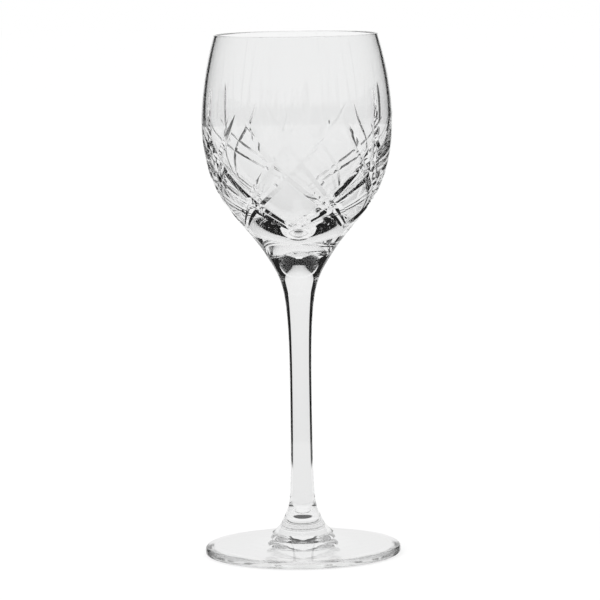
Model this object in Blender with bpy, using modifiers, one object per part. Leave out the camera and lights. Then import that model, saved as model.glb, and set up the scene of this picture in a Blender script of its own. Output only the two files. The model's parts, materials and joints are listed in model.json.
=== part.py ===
"""Dram glass: a wheel-cut bowl on a slender drawn stem and a cast foot, each its own gather of glass."""
import math
from functools import lru_cache

import bmesh
import bpy
from mathutils import Vector
from mathutils.geometry import interpolate_bezier

# Foot, in metres
FOOT_RADIUS = 0.0273
FOOT_EDGE = 0.0022
FOOT_TOP_ROUND = 0.0009
FOOT_BOTTOM_ROUND = 0.0006
FOOT_RISE = 0.0036
DISH_RADIUS = 0.0245
DISH_DEPTH = 0.0024
BOSS_RADIUS = 0.0085
BOSS_HEIGHT = 0.0040

# Stem: the waist is its narrowest place, measured up from the foot joint
STEM_LENGTH = 0.0736
STEM_FOOT_RADIUS = 0.00525
STEM_WAIST_RADIUS = 0.0030
STEM_WAIST = 0.0363
STEM_TOP_RADIUS = 0.0092

# Bowl: heights are measured up from the stem joint
BOWL_HEIGHT = 0.0610
BELLY_HEIGHT = 0.0382
BELLY_RADIUS = 0.02645
RIM_RADIUS = 0.02275
RIM_WALL = 0.0008
BELLY_WALL = 0.0010
FLOOR_THICKNESS = 0.0060

# Slopes of the outer side, as change of radius for each metre of height
FOOT_JOINT_SLOPE = -0.42
BOSS_TOP_SLOPE = -0.45
BOSS_FOOT_SLOPE = -1.50
BOWL_JOINT_SLOPE = 0.63
RIM_SLOPE = -0.28

# How far each curve follows its end slopes, as shares of the curve's own height or radius
STEM_LOW_PULLS = (0.11, 0.98)
STEM_HIGH_PULLS = (0.77, 0.19)
BOWL_PULLS = (0.31, 0.605)
RIM_PULLS = (0.09, 0.55)
BOSS_PULLS = (0.35, 0.35)
FLOOR_PULL = 0.28
CAVITY_PULL = 0.56

# Fused faces are drawn this far apart
JOINT_GAP = 0.0003

# Mitre cuts: each unit has one upright, two crossing and two peaked cuts.
# A cut passes three places, each (degrees from the unit's middle, height above the stem joint).
CUT_UNITS = 6
FIRST_UNIT = -96.0
UPRIGHT_CUT = ((0.0, 0.0470), (0.0, 0.0370), (0.0, 0.0270))
CROSSING_CUT = ((-27.0, 0.0405), (5.0, 0.0215), (63.0, 0.0073))
PEAKED_CUT = ((-5.0, 0.0375), (24.0, 0.0195), (62.0, 0.0087))
UPRIGHT_DEPTH = 0.46 * BELLY_WALL
CROSSING_DEPTH = 0.50 * BELLY_WALL
PEAKED_DEPTH = 0.50 * BELLY_WALL
PAIRED_CUTS = (("crossing", CROSSING_CUT, CROSSING_DEPTH), ("peaked", PEAKED_CUT, PEAKED_DEPTH))
SECOND_CUT_EXTRA = 0.00006

# The cutting wheel's edge: its height, its half width for each metre of height, its clearance over the
# glass at both ends of a cut, and a power that is higher where it enters and leaves faster
WHEEL_EDGE = 0.0011
WHEEL_FLARE = 2.5
WHEEL_SKIM = 0.00008
WHEEL_ENTRY = 5.0

# Facets around each turned piece, along its curves and along a cut
TURN_STEPS = 60
SIDE_STEPS = 12
ROUND_STEPS = 4
DISH_STEPS = 8
GUIDE_STEPS = 60
CUT_STEPS = 18

FOOT_JOINT = FOOT_EDGE + FOOT_RISE + BOSS_HEIGHT
STEM_BASE = FOOT_JOINT + JOINT_GAP
STEM_TOP = STEM_BASE + STEM_LENGTH
BOWL_BASE = STEM_TOP + JOINT_GAP


def clear_scene():
    for item in list(bpy.data.objects):
        bpy.data.objects.remove(item, do_unlink=True)


def new_collection(name):
    collection = bpy.data.collections.new(name)
    bpy.context.scene.collection.children.link(collection)
    return collection


def clear_glass(name, colour):
    material = bpy.data.materials.new(name)
    material.use_nodes = True
    shader = material.node_tree.nodes["Principled BSDF"]
    shader.inputs["Base Color"].default_value = (*colour, 1.0)
    shader.inputs["Metallic"].default_value = 0.0
    shader.inputs["Roughness"].default_value = 0.02
    shader.inputs["IOR"].default_value = 1.54
    shader.inputs["Transmission Weight"].default_value = 1.0
    return material


def side_curve(low, low_slope, low_pull, high, high_slope, high_pull, steps=SIDE_STEPS):
    """Points up a smooth side, from one (radius, height) to another."""
    low, high = Vector(low), Vector(high)
    rise = high.y - low.y
    low_handle = low + low_pull * rise * Vector((low_slope, 1.0))
    high_handle = high - high_pull * rise * Vector((high_slope, 1.0))
    return interpolate_bezier(low, low_handle, high_handle, high, steps + 1)


def round_corner(centre, radius, start, end, steps=ROUND_STEPS):
    """Points along an arc between two angles in degrees, in the plane of the profile."""
    angles = [math.radians(start + (end - start) * step / steps) for step in range(steps + 1)]
    return [Vector((centre[0] + radius * math.cos(a), centre[1] + radius * math.sin(a))) for a in angles]


def turned(name, profile, material, collection):
    """A piece turned about Z from a profile that runs down its outer side."""
    mesh = bpy.data.meshes.new(name)
    points = [(point[0], 0.0, point[1]) for point in profile]
    edges = [(index, index + 1) for index in range(len(points) - 1)]
    mesh.from_pydata(points, edges, [])
    mesh.materials.append(material)
    piece = bpy.data.objects.new(name, mesh)
    collection.objects.link(piece)
    screw = piece.modifiers.new("Turning", "SCREW")
    screw.axis = "Z"
    screw.angle = math.tau
    screw.steps = TURN_STEPS
    screw.render_steps = TURN_STEPS
    screw.use_merge_vertices = True
    screw.merge_threshold = 0.00001
    screw.use_smooth_shade = True
    piece.rotation_euler.z = math.pi / TURN_STEPS
    return piece


def foot_profile():
    boss_base = FOOT_EDGE + FOOT_RISE
    boss = side_curve((BOSS_RADIUS, boss_base), BOSS_FOOT_SLOPE, BOSS_PULLS[0],
                      (STEM_FOOT_RADIUS, FOOT_JOINT), BOSS_TOP_SLOPE, BOSS_PULLS[1], ROUND_STEPS)
    top_centre = (FOOT_RADIUS - FOOT_TOP_ROUND, FOOT_EDGE - FOOT_TOP_ROUND)
    bottom_centre = (FOOT_RADIUS - FOOT_BOTTOM_ROUND, FOOT_BOTTOM_ROUND)
    top_edge = round_corner(top_centre, FOOT_TOP_ROUND, 90, 0)
    bottom_edge = round_corner(bottom_centre, FOOT_BOTTOM_ROUND, 0, -90)
    dish_bend = (DISH_RADIUS ** 2 + DISH_DEPTH ** 2) / (2 * DISH_DEPTH)
    dish_turn = math.degrees(math.asin(DISH_RADIUS / dish_bend))
    dish = round_corner((0, DISH_DEPTH - dish_bend), dish_bend, 90 - dish_turn, 90, DISH_STEPS)
    return [(0, FOOT_JOINT)] + boss[::-1] + top_edge + bottom_edge + dish


def stem_profile():
    waist = (STEM_WAIST_RADIUS, STEM_BASE + STEM_WAIST)
    lower = side_curve((STEM_FOOT_RADIUS, STEM_BASE), FOOT_JOINT_SLOPE, STEM_LOW_PULLS[0],
                       waist, 0.0, STEM_LOW_PULLS[1])
    upper = side_curve(waist, 0.0, STEM_HIGH_PULLS[0],
                       (STEM_TOP_RADIUS, STEM_TOP), BOWL_JOINT_SLOPE, STEM_HIGH_PULLS[1])
    return [(0, STEM_TOP)] + upper[::-1] + lower[-2::-1] + [(0, STEM_BASE)]


@lru_cache(maxsize=None)
def bowl_outside(steps=SIDE_STEPS):
    """The bowl's outer side from the stem joint up to its lip."""
    belly = (BELLY_RADIUS, BOWL_BASE + BELLY_HEIGHT)
    lip = (RIM_RADIUS, BOWL_BASE + BOWL_HEIGHT - RIM_WALL / 2)
    lower = side_curve((STEM_TOP_RADIUS, BOWL_BASE), BOWL_JOINT_SLOPE, BOWL_PULLS[0],
                       belly, 0.0, BOWL_PULLS[1], steps)
    upper = side_curve(belly, 0.0, RIM_PULLS[0], lip, RIM_SLOPE, RIM_PULLS[1], steps)
    return lower + upper[1:]


def bowl_inside():
    """The cavity from the middle of its floor up to the lip."""
    belly = Vector((BELLY_RADIUS - BELLY_WALL, BOWL_BASE + BELLY_HEIGHT))
    floor = Vector((0.0, BOWL_BASE + FLOOR_THICKNESS))
    lip = (RIM_RADIUS - RIM_WALL, BOWL_BASE + BOWL_HEIGHT - RIM_WALL / 2)
    floor_handle = floor + Vector((FLOOR_PULL * belly.x, 0.0))
    belly_handle = belly - Vector((0.0, CAVITY_PULL * (belly.y - floor.y)))
    lower = interpolate_bezier(floor, floor_handle, belly_handle, belly, SIDE_STEPS + 1)
    upper = side_curve(belly, 0.0, RIM_PULLS[0], lip, RIM_SLOPE, RIM_PULLS[1])
    return lower + upper[1:]


def bowl_profile():
    lip_centre = (RIM_RADIUS - RIM_WALL / 2, BOWL_BASE + BOWL_HEIGHT - RIM_WALL / 2)
    lip = round_corner(lip_centre, RIM_WALL / 2, 180, 0)
    return bowl_inside() + lip[1:-1] + bowl_outside()[::-1] + [(0, BOWL_BASE)]


def on_bowl(angle, height):
    """A point on the bowl's outside and the way square to it, at an angle in degrees and a height."""
    level = BOWL_BASE + height
    side = bowl_outside(GUIDE_STEPS)
    low, high = next((pair for pair in zip(side, side[1:]) if pair[1].y >= level), side[-2:])
    slope = (high.x - low.x) / (high.y - low.y)
    turn = math.radians(angle)
    outward = Vector((math.cos(turn), math.sin(turn), 0.0))
    point = outward * (low.x + slope * (level - low.y)) + Vector((0.0, 0.0, level))
    return point, (outward - Vector((0.0, 0.0, slope))).normalized()


def along_cut(places, part):
    """Angle and height at a part of the way along the parabola through a cut's three places."""
    shares = (1 - part) * (1 - 2 * part), 4 * part * (1 - part), part * (2 * part - 1)
    return [sum(share * place[axis] for share, place in zip(shares, places)) for axis in (0, 1)]


def wheel_outline(collection):
    """The cutting wheel's edge seen end on, with its point down."""
    outline = bpy.data.curves.new("wheel_outline", "CURVE")
    outline.dimensions = "2D"
    half_width = WHEEL_EDGE * WHEEL_FLARE
    spline = outline.splines.new("POLY")
    spline.points.add(2)
    for point, place in zip(spline.points, ((0.0, -WHEEL_EDGE), (half_width, 0.0), (-half_width, 0.0))):
        point.co = (*place, 0.0, 1.0)
    spline.use_cyclic_u = True
    wheel = bpy.data.objects.new("wheel_outline", outline)
    collection.objects.link(wheel)
    return wheel


def wheel_line(name, path, normals, wheel, collection):
    """A curve that carries the wheel's outline along a path, square to the bowl at each point."""
    line = bpy.data.curves.new(name, "CURVE")
    line.dimensions = "3D"
    line.twist_mode = "Z_UP"
    line.bevel_mode = "OBJECT"
    line.bevel_object = wheel
    line.use_fill_caps = True
    steps = [(after - before).normalized() for before, after in zip(path, path[1:])]
    ways = [(before + after).normalized() for before, after in zip(steps[:1] + steps, steps + steps[-1:])]
    spline = line.splines.new("POLY")
    spline.points.add(len(path) - 1)
    for point, place, way, normal in zip(spline.points, path, ways, normals):
        upward = (Vector((0.0, 0.0, 1.0)) - way * way.z).normalized()
        point.co = (*place, 1.0)
        point.tilt = math.atan2(normal.dot(way.cross(upward)), normal.dot(upward))
    curve = bpy.data.objects.new(name, line)
    collection.objects.link(curve)
    return curve


def solid_from(curve, name, collection):
    """A closed mesh in place of a curve."""
    graph = bpy.context.evaluated_depsgraph_get()
    mesh = bpy.data.meshes.new_from_object(curve.evaluated_get(graph))
    welded = bmesh.new()
    welded.from_mesh(mesh)
    bmesh.ops.remove_doubles(welded, verts=welded.verts, dist=0.000001)
    bmesh.ops.recalc_face_normals(welded, faces=welded.faces)
    welded.to_mesh(mesh)
    welded.free()
    solid = bpy.data.objects.new(name, mesh)
    solid.matrix_world = curve.matrix_world
    bpy.data.objects.remove(curve, do_unlink=True)
    collection.objects.link(solid)
    return solid


def mitre_cut(name, middle, side, places, depth, wheel, collection):
    """The way of the wheel along one cut of a unit, mirrored about the unit's middle where side is -1."""
    path = []
    normals = []
    for step in range(CUT_STEPS + 1):
        part = step / CUT_STEPS
        angle, height = along_cut(places, part)
        place, normal = on_bowl(middle + side * angle, height)
        bite = (depth + WHEEL_SKIM) * (1 - abs(2 * part - 1) ** WHEEL_ENTRY) - WHEEL_SKIM
        path.append(place + normal * (WHEEL_EDGE - bite))
        normals.append(normal)
    cutter = solid_from(wheel_line(f"{name}_line", path, normals, wheel, collection), name, collection)
    cutter.hide_render = True
    cutter.display_type = "WIRE"


def cut_bowl(bowl, cutters):
    wheel = wheel_outline(cutters)
    for unit in range(CUT_UNITS):
        middle = FIRST_UNIT + unit * 360 / CUT_UNITS
        mitre_cut(f"upright_{unit}", middle, 1, UPRIGHT_CUT, UPRIGHT_DEPTH, wheel, cutters)
        for hand, side, extra in (("left", -1, 0.0), ("right", 1, SECOND_CUT_EXTRA)):
            for kind, places, depth in PAIRED_CUTS:
                mitre_cut(f"{kind}_{hand}_{unit}", middle, side, places, depth + extra, wheel, cutters)
    bpy.data.objects.remove(wheel, do_unlink=True)
    cuts = bowl.modifiers.new("Mitre cuts", "BOOLEAN")
    cuts.operation = "DIFFERENCE"
    cuts.solver = "EXACT"
    cuts.operand_type = "COLLECTION"
    cuts.collection = cutters


clear_scene()
glass = new_collection("dram_glass")
cutters = new_collection("mitre_cutters")
turned("foot", foot_profile(), clear_glass("foot_glass", (0.96, 0.98, 0.98)), glass)
turned("stem", stem_profile(), clear_glass("stem_glass", (0.97, 0.98, 0.98)), glass)
bowl = turned("bowl", bowl_profile(), clear_glass("bowl_glass", (0.98, 0.99, 0.99)), glass)
cut_bowl(bowl, cutters)
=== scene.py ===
import json
import math

import bpy
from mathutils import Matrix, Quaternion, Vector
from mathutils.geometry import interpolate_bezier

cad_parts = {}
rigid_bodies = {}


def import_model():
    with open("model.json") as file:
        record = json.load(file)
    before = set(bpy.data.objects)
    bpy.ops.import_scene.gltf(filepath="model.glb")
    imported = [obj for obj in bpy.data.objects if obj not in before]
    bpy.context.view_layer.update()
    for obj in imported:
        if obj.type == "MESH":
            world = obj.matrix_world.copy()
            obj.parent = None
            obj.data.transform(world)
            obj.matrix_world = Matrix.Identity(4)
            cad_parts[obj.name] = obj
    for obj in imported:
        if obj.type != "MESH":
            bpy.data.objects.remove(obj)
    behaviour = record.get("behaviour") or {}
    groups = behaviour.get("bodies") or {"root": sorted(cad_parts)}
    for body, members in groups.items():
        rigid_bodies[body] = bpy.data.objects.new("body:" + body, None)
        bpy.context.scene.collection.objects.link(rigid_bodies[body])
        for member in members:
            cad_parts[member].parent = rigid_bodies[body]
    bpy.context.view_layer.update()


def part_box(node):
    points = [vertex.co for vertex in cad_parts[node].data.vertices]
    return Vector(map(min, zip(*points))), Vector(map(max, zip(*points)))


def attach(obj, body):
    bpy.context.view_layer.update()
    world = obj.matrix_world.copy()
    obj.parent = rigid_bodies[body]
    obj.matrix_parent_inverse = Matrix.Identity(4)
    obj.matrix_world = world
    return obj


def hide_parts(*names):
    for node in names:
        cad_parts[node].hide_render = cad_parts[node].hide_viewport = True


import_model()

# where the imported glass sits: the fused seams lie halfway across the gaps between its solids
footLow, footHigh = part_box("foot")
stemLow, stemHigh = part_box("stem")
bowlLow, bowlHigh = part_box("bowl")
tableZ = footLow.z
lowSeamZ = (footHigh.z + stemLow.z) / 2
highSeamZ = (stemHigh.z + bowlLow.z) / 2
rimZ = bowlHigh.z
print("frame loaded, seams at", round(lowSeamZ, 5), round(highSeamZ, 5), "rim at", round(rimZ, 5))


# shader maths as expressions

class Wire:
    def __init__(self, tree, socket):
        self.tree = tree
        self.socket = socket

    def math(self, operation, *others):
        return makeNode(self.tree, "ShaderNodeMath", {"operation": operation}, [self, *others])

    def __add__(self, other):
        return self.math("ADD", other)

    def __sub__(self, other):
        return self.math("SUBTRACT", other)

    def __rsub__(self, other):
        return makeNode(self.tree, "ShaderNodeMath", {"operation": "SUBTRACT"}, [other, self])

    def __mul__(self, other):
        return self.math("MULTIPLY", other)

    __radd__ = __add__
    __rmul__ = __mul__


def makeNode(tree, kind, settings=None, inputs=None, output=0):
    node = tree.nodes.new(kind)
    for name, value in (settings or {}).items():
        setattr(node, name, value)
    pairs = inputs.items() if isinstance(inputs, dict) else enumerate(inputs or [])
    for key, value in pairs:
        if isinstance(value, Wire):
            tree.links.new(value.socket, node.inputs[key])
        else:
            node.inputs[key].default_value = value
    return Wire(tree, node.outputs[output]) if node.outputs else node


def ramp(wire, low, high, start, end, easing="SMOOTHSTEP"):
    settings = {"interpolation_type": easing}
    return makeNode(wire.tree, "ShaderNodeMapRange", settings, [wire, low, high, start, end])


def newMaterial(name):
    material = bpy.data.materials.new(name)
    material.use_nodes = True
    material.node_tree.nodes.clear()
    return material, material.node_tree


def finishMaterial(tree, shader):
    makeNode(tree, "ShaderNodeOutputMaterial", None, {"Surface": shader})


# glass finishes

glassLook = {
    "ior": 1.52,
    "tint": (0.993, 0.995, 0.995, 1.0),
    "roughness": 0.0,
    "rippleScale": 55.0,       # slow ripples of the fire-polished skin, per metre
    "rippleDepth": 0.000004,
    "rippleDetail": 1.0,
    "rippleRoughness": 0.4,
}


def makeGlass(name):
    material, tree = newMaterial(name)
    place = makeNode(tree, "ShaderNodeTexCoord", output="Object")
    ripple = makeNode(tree, "ShaderNodeTexNoise", None, {
        "Vector": place, "Scale": glassLook["rippleScale"],
        "Detail": glassLook["rippleDetail"], "Roughness": glassLook["rippleRoughness"]})
    skin = makeNode(tree, "ShaderNodeBump", None, {
        "Strength": 1.0, "Distance": glassLook["rippleDepth"], "Height": ripple})
    finishMaterial(tree, makeNode(tree, "ShaderNodeBsdfPrincipled", None, {
        "Base Color": glassLook["tint"], "Roughness": glassLook["roughness"], "IOR": glassLook["ior"],
        "Transmission Weight": 1.0, "Normal": skin}))
    return material


def makeFusedSeam():
    # melted glass shows no face at a seam, so the two faces there let everything through
    material, tree = newMaterial("fusedSeam")
    finishMaterial(tree, makeNode(tree, "ShaderNodeBsdfPrincipled", None, {
        "Base Color": glassLook["tint"], "Roughness": glassLook["roughness"], "IOR": glassLook["ior"],
        "Transmission Weight": 1.0, "Alpha": 0.0}))
    return material


bowlGlass = makeGlass("bowlGlass")
cutGlass = makeGlass("cutGlass")
stemGlass = makeGlass("stemGlass")
footGlass = makeGlass("footGlass")
fusedSeam = makeFusedSeam()
print("glass mixed")


# turning: a drawn profile is spun about the glass's axis
# a knot is its place and its two handles, each as (radius, height)

turning = {
    "weld": 0.000001,                   # points this close are one
    "roundPull": 0.5523,                # handle of a quarter circle, as a share of its radius
    "seamReach": 0.00001,               # a seam face lies this close to its seam
    "seamCorners": 8,                   # and it has more corners than this
    "level": 0.999,                     # and faces straight up or down, to this share
    "smoothAngle": math.radians(14),
    "flatWeight": 100,                  # large faces lead the shading of their corners
}


def deselectAll():
    if bpy.context.object and bpy.context.object.mode != "OBJECT":
        bpy.ops.object.mode_set(mode="OBJECT")
    bpy.ops.object.select_all(action="DESELECT")


def newCurve(name):
    deselectAll()
    bpy.ops.curve.primitive_bezier_curve_add(location=(0, 0, 0))
    curve = bpy.context.object
    curve.name = name
    curve.data.splines.clear()
    return curve


def bend(radius, height, slope, pullIn, pullOut):
    # a smooth knot: slope is radius gained for each metre up, pulls are signed heights of its handles
    return ((radius, height), (radius + slope * pullIn, height + pullIn),
            (radius + slope * pullOut, height + pullOut))


def drawProfile(name, knots, stretches):
    # one spline for each stretch between knots, with that stretch's own number of steps
    profile = newCurve(name)
    for low, high, steps in zip(knots, knots[1:], stretches):
        spline = profile.data.splines.new("BEZIER")
        spline.resolution_u = steps
        spline.bezier_points.add(1)
        for point, knot in zip(spline.bezier_points, (low, high)):
            point.handle_left_type = point.handle_right_type = "FREE"
            for end, place in zip(("co", "handle_left", "handle_right"), knot):
                setattr(point, end, (place[0], 0, place[1]))
    bpy.ops.object.convert(target="MESH")
    bpy.ops.object.mode_set(mode="EDIT")
    bpy.ops.mesh.select_all(action="SELECT")
    bpy.ops.mesh.remove_doubles(threshold=turning["weld"])
    bpy.ops.object.mode_set(mode="OBJECT")
    return bpy.context.object


def spinProfile(steps):
    bpy.ops.object.mode_set(mode="EDIT")
    bpy.ops.mesh.select_all(action="SELECT")
    bpy.ops.mesh.spin(steps=steps, angle=math.tau, center=(0, 0, 0), axis=(0, 0, 1))
    bpy.ops.mesh.select_all(action="SELECT")
    bpy.ops.mesh.remove_doubles(threshold=turning["weld"])
    bpy.ops.mesh.select_all(action="DESELECT")
    bpy.ops.mesh.select_mode(type="EDGE")
    # the open ends at the seams get a face each
    bpy.ops.mesh.select_non_manifold(extend=False, use_multi_face=False, use_non_contiguous=False,
                                     use_verts=False)
    bpy.ops.mesh.edge_face_add()
    bpy.ops.mesh.select_all(action="SELECT")
    bpy.ops.mesh.normals_make_consistent(inside=False)
    bpy.ops.object.mode_set(mode="OBJECT")


def dressPiece(piece, glass, seamHeights):
    mesh = piece.data
    if not mesh.materials:
        mesh.materials.append(glass)
    mesh.materials.append(fusedSeam)
    seamIndex = len(mesh.materials) - 1
    for face in mesh.polygons:
        flat = abs(face.normal.z) > turning["level"] and len(face.vertices) > turning["seamCorners"]
        if flat and any(abs(face.center.z - height) < turning["seamReach"] for height in seamHeights):
            face.material_index = seamIndex
    bpy.ops.object.shade_smooth_by_angle(angle=turning["smoothAngle"])
    even = piece.modifiers.new("evenShading", "WEIGHTED_NORMAL")
    even.keep_sharp = True
    even.weight = turning["flatWeight"]
    bpy.ops.object.modifier_apply(modifier=even.name)
    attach(piece, "root")


# foot: boss, coned top, rounded edge, the flat ring it stands on, and the hollow under it

foot = {
    "radius": 0.0273, "edge": 0.0022, "topRound": 0.0009, "bottomRound": 0.0006, "rise": 0.0036,
    "bossRadius": 0.0085, "bossTopSlope": -0.45, "bossFootSlope": -1.5, "bossPull": 0.35,
    "dishRadius": 0.0245, "dishDepth": 0.0024, "dishPull": 0.45, "dishShoulder": 0.75,
    "coneHandle": 0.004, "edgeHandle": 0.0002, "ringHandle": 0.002,
    "steps": 144, "stretches": (24, 16, 10, 4, 8, 6, 40),
}


def makeFoot():
    edgeZ = tableZ + foot["edge"]
    bossZ = edgeZ + foot["rise"]
    bossPull = (lowSeamZ - bossZ) * foot["bossPull"]
    bossFlare = foot["bossFootSlope"] * bossPull
    outer, boss, dish = foot["radius"], foot["bossRadius"], foot["dishRadius"]
    top, bottom = foot["topRound"], foot["bottomRound"]
    topPull, bottomPull = top * turning["roundPull"], bottom * turning["roundPull"]
    inTop, inBottom = outer - top, outer - bottom
    cone, side, ring = foot["coneHandle"], foot["edgeHandle"], foot["ringHandle"]
    coneDrop = cone * foot["rise"] / (inTop - boss)
    dishPull, dishZ = dish * foot["dishPull"], tableZ + foot["dishDepth"]
    shoulderZ = tableZ + foot["dishDepth"] * foot["dishShoulder"]
    sideTopZ, sideLowZ = edgeZ - top, tableZ + bottom
    knots = [
        bend(stem["footRadius"], lowSeamZ, foot["bossTopSlope"], 0, -bossPull),
        ((boss, bossZ), (boss + bossFlare, bossZ + bossPull), (boss + cone, bossZ - coneDrop)),
        ((inTop, edgeZ), (inTop - cone, edgeZ + coneDrop), (inTop + topPull, edgeZ)),
        ((outer, sideTopZ), (outer, sideTopZ + topPull), (outer, sideTopZ - side)),
        ((outer, sideLowZ), (outer, sideLowZ + side), (outer, sideLowZ - bottomPull)),
        ((inBottom, tableZ), (inBottom + bottomPull, tableZ), (inBottom - ring, tableZ)),
        ((dish, tableZ), (dish + ring, tableZ), (dish - dishPull, shoulderZ)),
        ((0, dishZ), (dishPull, dishZ), (0, dishZ)),
    ]
    piece = drawProfile("glass_foot", knots, foot["stretches"])
    spinProfile(foot["steps"])
    dressPiece(piece, footGlass, [lowSeamZ])
    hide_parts("foot")


# stem: a drawn rod, narrowest at its waist

stem = {
    "footRadius": 0.00525, "footSlope": -0.42, "waistRadius": 0.0030, "waistHeight": 0.0363,
    "topRadius": 0.0092, "topSlope": 0.63, "lowPulls": (0.11, 0.98), "highPulls": (0.77, 0.19),
    "steps": 96, "stretches": (40, 24),
}


def makeStem():
    waistZ = stemLow.z + stem["waistHeight"]
    lowRise, highRise = waistZ - lowSeamZ, highSeamZ - waistZ
    (footPull, waistDown), (waistUp, topPull) = stem["lowPulls"], stem["highPulls"]
    knots = [
        bend(stem["topRadius"], highSeamZ, stem["topSlope"], 0, -topPull * highRise),
        bend(stem["waistRadius"], waistZ, 0, waistUp * highRise, -waistDown * lowRise),
        bend(stem["footRadius"], lowSeamZ, stem["footSlope"], footPull * lowRise, 0),
    ]
    piece = drawProfile("glass_stem", knots, stem["stretches"])
    spinProfile(stem["steps"])
    dressPiece(piece, stemGlass, [lowSeamZ, highSeamZ])
    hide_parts("stem")


# bowl: blown thin, with a round lip and a thick floor

bowl = {
    "bellyHeight": 0.0382, "bellyRadius": 0.02645, "rimRadius": 0.02275, "rimSlope": -0.28,
    "rimWall": 0.0008, "bellyWall": 0.0010, "floorThickness": 0.0060,
    "sidePulls": (0.31, 0.605), "rimPulls": (0.09, 0.55), "floorPull": 0.28, "cavityPull": 0.56,
    "steps": 240, "stretches": (28, 16, 9, 9, 20, 40),
}
bellyZ = bowlLow.z + bowl["bellyHeight"]
lipZ = rimZ - bowl["rimWall"] / 2


def bowlCurves():
    # the outside from the seam up to the lip, for the turning and for placing the cuts
    lowRise, highRise = bellyZ - highSeamZ, lipZ - bellyZ
    (seamPull, bellyDown), (bellyUp, lipPull) = bowl["sidePulls"], bowl["rimPulls"]
    seamKnot = bend(stem["topRadius"], highSeamZ, stem["topSlope"], 0, seamPull * lowRise)
    bellyKnot = bend(bowl["bellyRadius"], bellyZ, 0, -bellyDown * lowRise, bellyUp * highRise)
    lipKnot = bend(bowl["rimRadius"], lipZ, bowl["rimSlope"], -lipPull * highRise, 0)
    return seamKnot, bellyKnot, lipKnot


def turnBowl():
    seamKnot, bellyKnot, lipKnot = bowlCurves()
    bellyUp, lipPull = (share * (lipZ - bellyZ) for share in bowl["rimPulls"])
    lip = bowl["rimWall"] / 2
    pull = lip * turning["roundPull"]
    innerBelly, innerRim = bowl["bellyRadius"] - bowl["bellyWall"], bowl["rimRadius"] - bowl["rimWall"]
    floorZ = bowlLow.z + bowl["floorThickness"]
    cavityPull = bowl["cavityPull"] * (bellyZ - floorZ)
    lipTop = innerRim + lip
    knots = [
        ((0, floorZ), (0, floorZ), (bowl["floorPull"] * innerBelly, floorZ)),
        bend(innerBelly, bellyZ, 0, -cavityPull, bellyUp),
        ((innerRim, lipZ), (innerRim - bowl["rimSlope"] * lipPull, lipZ - lipPull), (innerRim, lipZ + pull)),
        ((lipTop, rimZ), (lipTop - pull, rimZ), (lipTop + pull, rimZ)),
        (lipKnot[0], (bowl["rimRadius"], lipZ + pull), lipKnot[1]),
        (bellyKnot[0], bellyKnot[2], bellyKnot[1]),
        (seamKnot[0], seamKnot[2], seamKnot[0]),
    ]
    piece = drawProfile("cut_bowl", knots, bowl["stretches"])
    spinProfile(bowl["steps"])
    return piece


# mitre cuts: a sharp wheel is led along each line, square to the bowl's outside
# a line passes three places, each (degrees from its unit's middle, height above the bowl's seam)

cuts = {
    "units": 6, "firstUnit": -96.0,
    "upright": {
        "places": ((0.0, 0.0470), (0.0, 0.0370), (0.0, 0.0270)), "depth": 0.00046, "hands": (1,)},
    "crossing": {
        "places": ((-27.0, 0.0405), (5.0, 0.0215), (63.0, 0.0073)), "depth": 0.00050, "hands": (-1, 1)},
    "peaked": {
        "places": ((-5.0, 0.0375), (24.0, 0.0195), (62.0, 0.0087)), "depth": 0.00050, "hands": (-1, 1)},
    "secondExtra": 0.00002,    # the second cut of a pair runs a little deeper
    "skim": 0.00004,           # height of the wheel over the glass at both ends of a line
    "entry": 5.0,              # higher lets the wheel in and out faster
    "wheelEdge": 0.0011,       # height of the wheel's edge
    "flare": 2.5,              # its half width for each metre of height
    "lineSteps": 60, "sideSteps": 60,
}


def outsideOfBowl():
    seamKnot, bellyKnot, lipKnot = bowlCurves()
    lower = [Vector(place) for place in (seamKnot[0], seamKnot[2], bellyKnot[1], bellyKnot[0])]
    upper = [Vector(place) for place in (bellyKnot[0], bellyKnot[2], lipKnot[1], lipKnot[0])]
    return interpolate_bezier(*lower, cuts["sideSteps"]) + interpolate_bezier(*upper, cuts["sideSteps"])[1:]


bowlSide = outsideOfBowl()


def onBowl(angle, height):
    # a place on the bowl's outside and the way that the glass faces there
    level = bowlLow.z + height
    low, high = next((pair for pair in zip(bowlSide, bowlSide[1:]) if pair[1].y >= level), bowlSide[-2:])
    slope = (high.x - low.x) / (high.y - low.y)
    radius = low.x + slope * (level - low.y)
    turn = math.radians(angle)
    outward = Vector((math.cos(turn), math.sin(turn), 0))
    place = outward * radius + Vector((0, 0, level))
    return place, (outward - Vector((0, 0, slope))).normalized()


def alongLine(places, part):
    # a parabola through the line's start, middle and end
    shares = (1 - part) * (1 - 2 * part), 4 * part * (1 - part), part * (2 * part - 1)
    return [sum(share * place[axis] for share, place in zip(shares, places)) for axis in (0, 1)]


def drawMitre(name):
    # the wheel's edge seen end on: its point is down
    mitre = newCurve(name)
    mitre.data.dimensions = "2D"
    outline = mitre.data.splines.new("POLY")
    outline.points.add(2)
    edge, half = cuts["wheelEdge"], cuts["wheelEdge"] * cuts["flare"]
    for point, place in zip(outline.points, ((0, -edge), (half, 0), (-half, 0))):
        point.co = (*place, 0, 1)
    outline.use_cyclic_u = True
    return mitre


def wheelPath(cut, middle, hand):
    # where the wheel's edge goes, and the way that the glass under it faces
    depth = cut["depth"] + cuts["skim"] + (cuts["secondExtra"] if hand > 0 else 0)
    path, normals = [], []
    for step in range(cuts["lineSteps"] + 1):
        part = step / cuts["lineSteps"]
        angle, height = alongLine(cut["places"], part)
        place, normal = onBowl(middle + hand * angle, height)
        deep = depth * (1 - abs(2 * part - 1) ** cuts["entry"]) - cuts["skim"]
        path.append(place + normal * (cuts["wheelEdge"] - deep))
        normals.append(normal)
    return path, normals


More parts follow.
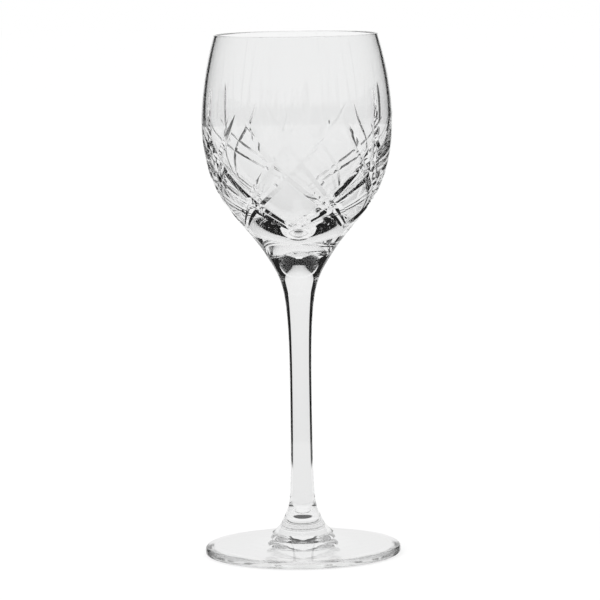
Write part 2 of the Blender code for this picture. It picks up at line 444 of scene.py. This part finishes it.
def makeGroove(name, path, normals, mitre):
    steps = [(after - before).normalized() for before, after in zip(path, path[1:])]
    ways = [(before + after).normalized() for before, after in zip(steps[:1] + steps, steps + steps[-1:])]
    line = newCurve(name).data
    line.twist_mode = "Z_UP"
    line.bevel_mode = "OBJECT"
    line.bevel_object = mitre
    line.use_fill_caps = True
    spline = line.splines.new("POLY")
    spline.points.add(len(path) - 1)
    for point, place, way, normal in zip(spline.points, path, ways, normals):
        upward = (Vector((0, 0, 1)) - way * way.z).normalized()
        point.co = (*place, 1)
        point.tilt = math.atan2(normal.dot(way.cross(upward)), normal.dot(upward))
    bpy.ops.object.convert(target="MESH")
    bpy.ops.object.mode_set(mode="EDIT")
    bpy.ops.mesh.select_all(action="SELECT")
    bpy.ops.mesh.remove_doubles(threshold=turning["weld"])
    bpy.ops.mesh.normals_make_consistent(inside=False)
    bpy.ops.object.mode_set(mode="OBJECT")
    groove = bpy.context.object
    groove.data.materials.append(cutGlass)
    return groove


def makeCutters():
    box = bpy.data.collections.new("mitreCutters")
    bpy.context.scene.collection.children.link(box)
    for kind in ("upright", "crossing", "peaked"):
        mitre = drawMitre(f"{kind}Mitre")
        for unit in range(cuts["units"]):
            middle = cuts["firstUnit"] + unit * 360 / cuts["units"]
            for hand in cuts[kind]["hands"]:
                path, normals = wheelPath(cuts[kind], middle, hand)
                groove = makeGroove(f"{kind}Groove{unit}{hand}", path, normals, mitre)
                for home in list(groove.users_collection):
                    home.objects.unlink(groove)
                box.objects.link(groove)
        bpy.data.objects.remove(mitre, do_unlink=True)
    return box


def makeBowl():
    piece = turnBowl()
    box = makeCutters()
    deselectAll()
    bpy.context.view_layer.objects.active = piece
    piece.select_set(True)
    piece.data.materials.append(bowlGlass)
    cutting = piece.modifiers.new("mitreCuts", "BOOLEAN")
    cutting.operation = "DIFFERENCE"
    cutting.operand_type = "COLLECTION"
    cutting.collection = box
    cutting.material_mode = "TRANSFER"
    bpy.ops.object.modifier_apply(modifier=cutting.name)
    for groove in list(box.objects):
        bpy.data.objects.remove(groove, do_unlink=True)
    bpy.data.collections.remove(box)
    dressPiece(piece, bowlGlass, [highSeamZ])
    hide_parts("bowl")
    return piece


makeFoot()
print("foot turned")
makeStem()
print("stem turned")
cutBowl = makeBowl()
print("bowl turned and cut,", len(cutBowl.data.polygons), "faces")


# camera, at the photograph's angle

shot = {
    "place": (0.0, -1.00409, 0.182685), "aim": (0.0001245, 0.0, 0.0710106),
    "roll": -0.0148, "lens": 217.73, "sensor": 36.0, "reach": 20.0,
}


def makeCamera():
    bpy.ops.object.camera_add(location=shot["place"])
    camera = bpy.context.object
    camera.name = "photoCamera"
    camera.data.lens = shot["lens"]
    camera.data.sensor_width = shot["sensor"]
    camera.data.clip_end = shot["reach"]
    look = (Vector(shot["aim"]) - Vector(shot["place"])).to_track_quat("-Z", "Y")
    camera.rotation_mode = "QUATERNION"
    camera.rotation_quaternion = look @ Quaternion((0, 0, 1), shot["roll"])
    bpy.context.scene.camera = camera
    bpy.context.view_layer.update()


# studio: the glass sees a dark room, a white table all round that is darker straight below,
# and a white card close behind it, which gives it dark outlines

studio = {
    "white": (1, 1, 1, 1),
    "dark": 0.012, "tableGlow": 0.87, "tableGloss": 0.06, "steepShade": 0.85, "diffuseSky": 1.06,
    "tableEdge": (math.radians(-11.2), math.radians(-10.4)),
    "steepEdge": (math.radians(-69), math.radians(-63)),
    "cardBack": 0.060,
    "cardSides": (             # height and half width, from the card's foot up
        (-0.020, 0.0560), (0.050, 0.0480), (0.085, 0.0390),
        (0.115, 0.0460), (0.160, 0.0385), (0.600, 0.0385)),
    "cardLow": (0.010, 0.845), "cardHigh": (0.100, 0.94),     # height and glow
    "floorSize": 8.0, "floorDrop": 0.0002, "floorGlow": 0.75, "floorColour": (0.95, 0.95, 0.95, 1),
    "keyPlace": (-0.5, -0.3, 1.1), "keySize": 0.9, "keyPower": 4.0,
    "bounces": 40,
}


def makeWorld():
    world = bpy.data.worlds.new("studioSurround")
    bpy.context.scene.world = world
    world.use_nodes = True
    tree = world.node_tree
    tree.nodes.clear()
    seen = makeNode(tree, "ShaderNodeLightPath", output="Is Camera Ray")
    gloss = makeNode(tree, "ShaderNodeLightPath", output="Is Glossy Ray")
    through = makeNode(tree, "ShaderNodeLightPath", output="Is Transmission Ray")
    way = makeNode(tree, "ShaderNodeTexCoord", output="Generated")
    rise = makeNode(tree, "ShaderNodeSeparateXYZ", None, [way], output="Z").math("ARCSINE")
    steep = ramp(rise, *studio["steepEdge"], 1 - studio["steepShade"], 1.0)
    table = ramp(rise, *studio["tableEdge"], 1.0, 0.0) * steep
    shown = table * (through * studio["tableGlow"] + gloss * studio["tableGloss"]) + studio["dark"]
    glass = gloss.math("MAXIMUM", through)
    strength = seen + (1 - seen) * (glass * shown + (1 - glass) * studio["diffuseSky"])
    glow = makeNode(tree, "ShaderNodeBackground", None, {"Color": studio["white"], "Strength": strength})
    makeNode(tree, "ShaderNodeOutputWorld", None, {"Surface": glow})


def makeFloor():
    bpy.ops.mesh.primitive_plane_add(size=studio["floorSize"], location=(0, 0, tableZ - studio["floorDrop"]))
    floor = bpy.context.object
    floor.name = "paleFloor"
    material, tree = newMaterial("paleFloor")
    seen = makeNode(tree, "ShaderNodeLightPath", output="Is Camera Ray")
    matte = makeNode(tree, "ShaderNodeBsdfDiffuse", None, {"Color": studio["floorColour"]})
    glow = makeNode(tree, "ShaderNodeEmission", None, {"Color": studio["white"], "Strength": 1.0})
    shader = makeNode(tree, "ShaderNodeMixShader", None, [seen * studio["floorGlow"], matte, glow])
    finishMaterial(tree, shader)
    floor.data.materials.append(material)
    floor.visible_glossy = floor.visible_transmission = False


def makeCard():
    material, tree = newMaterial("whiteCard")
    place = makeNode(tree, "ShaderNodeTexCoord", output="Object")
    level = makeNode(tree, "ShaderNodeSeparateXYZ", None, [place], output="Z")
    (lowZ, lowGlow), (highZ, highGlow) = studio["cardLow"], studio["cardHigh"]
    bright = ramp(level, lowZ, highZ, lowGlow, highGlow, "LINEAR")
    finishMaterial(tree, makeNode(tree, "ShaderNodeEmission", None, {"Color": bright, "Strength": 1.0}))
    deselectAll()
    sides = studio["cardSides"]
    rows = len(sides) - 1
    bpy.ops.mesh.primitive_grid_add(x_subdivisions=1, y_subdivisions=rows, size=2, location=(0, 0, 0))
    card = bpy.context.object
    card.name = "whiteCard"
    for corner in card.data.vertices:
        height, side = sides[round((corner.co.y + 1) / 2 * rows)]
        corner.co = (math.copysign(side, corner.co.x), studio["cardBack"], height)
    card.data.materials.append(material)
    card.visible_camera = card.visible_diffuse = card.visible_shadow = False


def makeLamp():
    bpy.ops.object.light_add(type="AREA", location=studio["keyPlace"])
    key = bpy.context.object
    key.name = "softKey"
    key.data.shape = "DISK"
    key.data.size = studio["keySize"]
    key.data.energy = studio["keyPower"]
    key.rotation_mode = "QUATERNION"
    key.rotation_quaternion = (-key.location).to_track_quat("-Z", "Y")
    key.visible_glossy = key.visible_transmission = False


makeCamera()
makeWorld()
makeFloor()
makeCard()
makeLamp()
scene = bpy.context.scene
scene.view_settings.view_transform = "Standard"
scene.cycles.max_bounces = scene.cycles.glossy_bounces = studio["bounces"]
scene.cycles.transmission_bounces = scene.cycles.transparent_max_bounces = studio["bounces"]
print("studio set")
